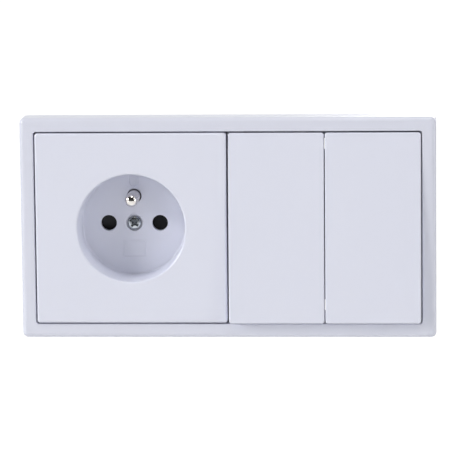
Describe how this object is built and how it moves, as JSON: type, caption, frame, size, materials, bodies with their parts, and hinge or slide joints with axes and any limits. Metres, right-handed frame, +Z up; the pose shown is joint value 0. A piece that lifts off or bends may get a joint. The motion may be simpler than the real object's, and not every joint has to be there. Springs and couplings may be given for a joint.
{
  "type": "flush earthed socket with double rocker switch",
  "caption": "Flush wiring set in a shared white cover frame: a round-cup earthed socket with a standing earth pin beside a double rocker light switch.",
  "frame": {"origin": "on the wall surface, midway between the two wall boxes", "axes": "+Z up, +Y into the wall, +X from the socket towards the switch"},
  "size_m": [0.1526, 0.0428, 0.0816],
  "materials": {
    "white_plastic": "gloss",
    "base_plastic": "matte",
    "black_plastic": "satin",
    "zinc_steel": "satin",
    "nickel": "polished",
    "brass": "satin"
  },
  "bodies": {
    "root": {"cover_frame": "white_plastic", "socket_cover": "white_plastic", "socket_ring": "zinc_steel", "socket_base": "base_plastic", "contact_cover": "base_plastic", "earth_pin": "nickel", "earth_strap": "brass", "live_contact_left": "brass", "live_contact_right": "brass", "live_terminal_screw_left": "zinc_steel", "live_terminal_screw_right": "zinc_steel", "earth_terminal_screw": "zinc_steel", "cover_screw": "zinc_steel", "shutter_spring": "zinc_steel", "switch_ring": "zinc_steel", "switch_base": "base_plastic", "feed_bridge": "brass", "feed_terminal_screw": "zinc_steel", "output_contact_left": "brass", "output_contact_right": "brass", "output_terminal_screw_left": "zinc_steel", "output_terminal_screw_right": "zinc_steel"},
    "shutter": {"socket_shutter": "black_plastic"},
    "rocker_left_assembly": {"rocker_left": "white_plastic", "cradle_left": "base_plastic", "plunger_left": "black_plastic", "plunger_spring_left": "zinc_steel"},
    "rocker_right_assembly": {"rocker_right": "white_plastic", "cradle_right": "base_plastic", "plunger_right": "black_plastic", "plunger_spring_right": "zinc_steel"},
    "lever_left": {"contact_lever_left": "brass"},
    "lever_right": {"contact_lever_right": "brass"}
  },
  "joints": [
    {"name": "shutter_turn", "type": "hinge", "parent": "root", "child": "shutter", "pos_m": [-0.0355, 0.0068, 0], "axis": [0, 1, 0], "range_deg": [0, 42], "stiffness_Nm_per_rad": 0.003, "deforming": ["shutter_spring"]},
    {"name": "rocker_left_tilt", "type": "hinge", "parent": "root", "child": "rocker_left_assembly", "pos_m": [0.02488, -0.006, 0], "axis": [1, 0, 0], "range_deg": [0, 6.6]},
    {"name": "rocker_right_tilt", "type": "hinge", "parent": "root", "child": "rocker_right_assembly", "pos_m": [0.04612, -0.006, 0], "axis": [1, 0, 0], "range_deg": [0, 6.6]},
    {"name": "lever_left_rock", "type": "hinge", "parent": "root", "child": "lever_left", "pos_m": [0.02488, 0.0084, 0], "axis": [1, 0, 0], "range_deg": [-8, 0]},
    {"name": "lever_right_rock", "type": "hinge", "parent": "root", "child": "lever_right", "pos_m": [0.04612, 0.0084, 0], "axis": [1, 0, 0], "range_deg": [-8, 0]}
  ],
  "couplings": [
    {"joint": "lever_left_rock", "follows": "rocker_left_tilt", "ratio": -1.2121},
    {"joint": "lever_right_rock", "follows": "rocker_right_tilt", "ratio": -1.2121}
  ]
}
